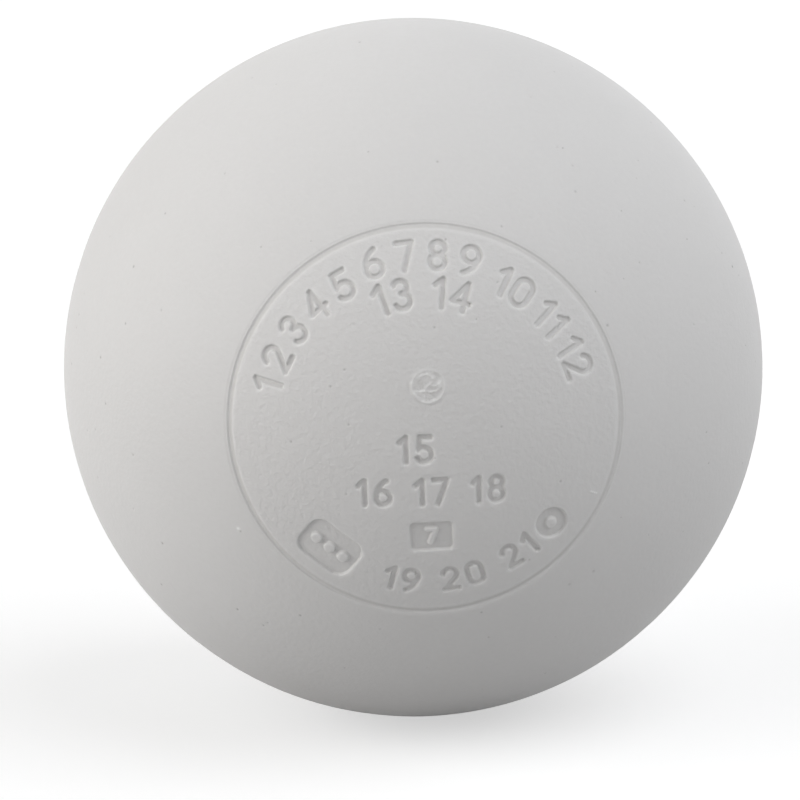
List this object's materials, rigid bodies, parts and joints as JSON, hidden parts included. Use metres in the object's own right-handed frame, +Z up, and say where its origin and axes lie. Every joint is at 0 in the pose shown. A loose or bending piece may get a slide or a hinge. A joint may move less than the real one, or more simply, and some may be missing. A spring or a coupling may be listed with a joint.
{
  "type": "lacrosse ball",
  "caption": "Solid rubber ball for stick and net field games, with a moulded ring round a panel of sunk plain numbers on its front.",
  "frame": {"origin": "centre of the ball", "axes": "-Y out through the middle of the marked panel, +Z up along its upright numbers; the plane y = 0 parts the two halves of the cover"},
  "size_m": [0.064, 0.064, 0.064],
  "materials": {
    "cover_rubber": "matte off-white moulded rubber",
    "core_rubber": "matte dark filler rubber"
  },
  "bodies": {
    "root": {"core": "core_rubber", "front_cover": "cover_rubber", "back_cover": "cover_rubber"}
  },
  "joints": []
}
